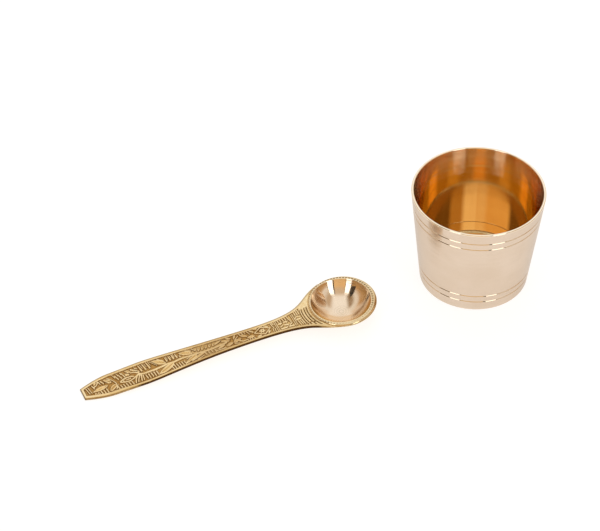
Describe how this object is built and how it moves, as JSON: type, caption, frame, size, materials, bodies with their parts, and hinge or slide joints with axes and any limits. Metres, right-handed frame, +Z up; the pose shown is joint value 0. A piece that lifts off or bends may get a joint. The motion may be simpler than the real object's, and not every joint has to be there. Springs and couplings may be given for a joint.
{
  "type": "panchpatra cup and spoon set",
  "caption": "Tapered polished brass panchpatra cup with turned groove bands, and a chased brass serving spoon with a round bowl that lies beside it and lifts away to serve water.",
  "frame": {"origin": "centre of the cup's foot, on the table that the cup and the spoon stand on", "axes": "+Z up along the cup's axis, +X from the spoon's end towards the cup, +Y away from the viewer"},
  "size_m": [0.2219, 0.1196, 0.0544],
  "materials": {
    "cup_brass": "turned and mirror polished",
    "spoon_brass": "chased, polished on the raised faces, darker in the cuts",
    "braze": "dressed flush and polished"
  },
  "bodies": {
    "cup": {"cup_wall": "cup_brass", "cup_base": "cup_brass", "cup_braze": "braze"},
    "spoon": {"spoon_bowl": "spoon_brass", "spoon_handle": "spoon_brass", "spoon_braze": "braze"}
  },
  "joints": [
    {"name": "spoon_lift", "type": "slide", "parent": "cup", "child": "spoon", "axis": [0, 0, 1], "range_m": [0, 0.1]}
  ]
}
